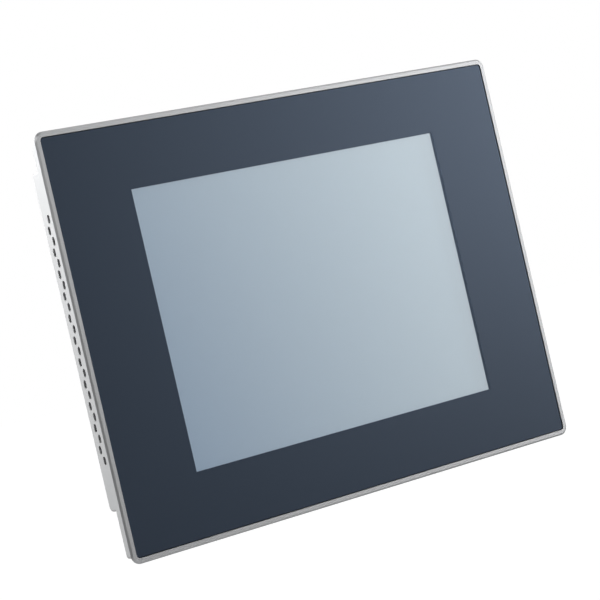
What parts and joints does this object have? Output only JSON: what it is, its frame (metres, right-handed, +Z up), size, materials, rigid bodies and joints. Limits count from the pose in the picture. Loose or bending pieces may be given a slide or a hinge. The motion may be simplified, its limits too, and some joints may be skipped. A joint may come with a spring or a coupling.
{
  "type": "hmi touch panel",
  "caption": "Flush-front industrial touch panel with an aluminium flange, dark printed glass, vented steel tray and a rear cover with connectors along its foot.",
  "frame": {"origin": "centre of the rear four-screw mounting pattern, on the outside of the rear cover's back face", "axes": "+X to the right as the user sees the screen, +Y out of the back (the screen faces -Y), +Z up"},
  "size_m": [0.3124, 0.0444, 0.2364],
  "materials": {
    "anodised_aluminium": "satin anodised",
    "black_moulding": "spark-eroded texture",
    "black_tape": "foam",
    "card_moulding": "moulded",
    "cell_steel": "polished",
    "chip_black": "moulded",
    "circuit_board": "solder mask",
    "clear_acrylic": "polished",
    "coated_sheet_steel": "fine silver-grey powder coat",
    "connector_shell": "tin plated",
    "contact_gold": "gold plated",
    "display_glass": "satin polariser film",
    "flex_film": "polyimide film",
    "gasket_rubber": "moulded",
    "heat_aluminium": "sawn and brushed",
    "led_board": "solder mask",
    "module_steel": "rolled",
    "nickel_brass": "nickel plated",
    "printed_glass": "polished, with a dark printed border",
    "screw_steel": "zinc plated",
    "sensor_glass": "clear",
    "terminal_green": "moulded",
    "thermal_silicone": "soft",
    "white_film": "matt",
    "white_nylon": "moulded",
    "zinc_steel": "zinc plated"
  },
  "bodies": {
    "chassis": {"backlight_driver": "circuit_board", "backlight_pan": "module_steel", "battery": "cell_steel", "battery_holder": "chip_black", "bezel_frame": "anodised_aluminium", "board_pillars": "nickel_brass", "board_screws": "screw_steel", "board_standoffs": "nickel_brass", "bracket_foot_screws": "screw_steel", "bracket_side_screws": "screw_steel", "card_slot": "black_moulding", "cover_screws": "screw_steel", "diffuser": "white_film", "display_board": "circuit_board", "display_connectors": "white_nylon", "display_flex": "flex_film", "earth_nut": "nickel_brass", "earth_stud": "screw_steel", "front_glass": "printed_glass", "glass_tape": "black_tape", "heat_block": "heat_aluminium", "lan_port_1": "connector_shell", "lan_port_2": "connector_shell", "lcd_bezel": "module_steel", "lcd_bracket_left": "zinc_steel", "lcd_bracket_right": "zinc_steel", "lcd_cell": "display_glass", "lcd_gasket": "gasket_rubber", "led_strip": "led_board", "light_guide": "clear_acrylic", "mainboard": "circuit_board", "memory_module": "circuit_board", "memory_socket": "chip_black", "mounting_inserts": "zinc_steel", "panel_gasket": "gasket_rubber", "power_contacts": "contact_gold", "power_header": "terminal_green", "power_switch": "black_moulding", "processor": "chip_black", "rear_cover": "coated_sheet_steel", "rear_tray": "coated_sheet_steel", "reset_switch": "chip_black", "serial_port": "connector_shell", "serial_studs": "zinc_steel", "thermal_pad": "thermal_silicone", "touch_controller": "circuit_board", "touch_sensor": "sensor_glass", "touch_tail": "flex_film", "tray_screws": "screw_steel", "usb_ports": "connector_shell", "usb_tongues": "white_nylon"},
    "rocker": {"power_rocker": "black_moulding"},
    "reset": {"reset_button": "black_moulding"},
    "card": {"memory_card": "card_moulding"},
    "plug": {"power_plug": "terminal_green", "clamp_screws": "screw_steel"},
    "door": {"battery_door": "black_moulding"}
  },
  "joints": [
    {"name": "power_rocker_tilt", "type": "hinge", "parent": "chassis", "child": "rocker", "pos_m": [-0.07, -0.01, -0.077], "axis": [0, 1, 0], "range_deg": [0, 14]},
    {"name": "reset_press", "type": "slide", "parent": "chassis", "child": "reset", "axis": [0, 0, 1], "range_m": [0, 0.0008], "stiffness_N_per_m": 400},
    {"name": "card_slide", "type": "slide", "parent": "chassis", "child": "card", "axis": [0, 0, -1], "range_m": [0, 0.02]},
    {"name": "plug_pull", "type": "slide", "parent": "chassis", "child": "plug", "axis": [0, 0, -1], "range_m": [0, 0.0092]},
    {"name": "battery_door_swing", "type": "hinge", "parent": "chassis", "child": "door", "pos_m": [0.078, -0.0012, 0.0398], "axis": [1, 0, 0], "range_deg": [0, 90]}
  ]
}
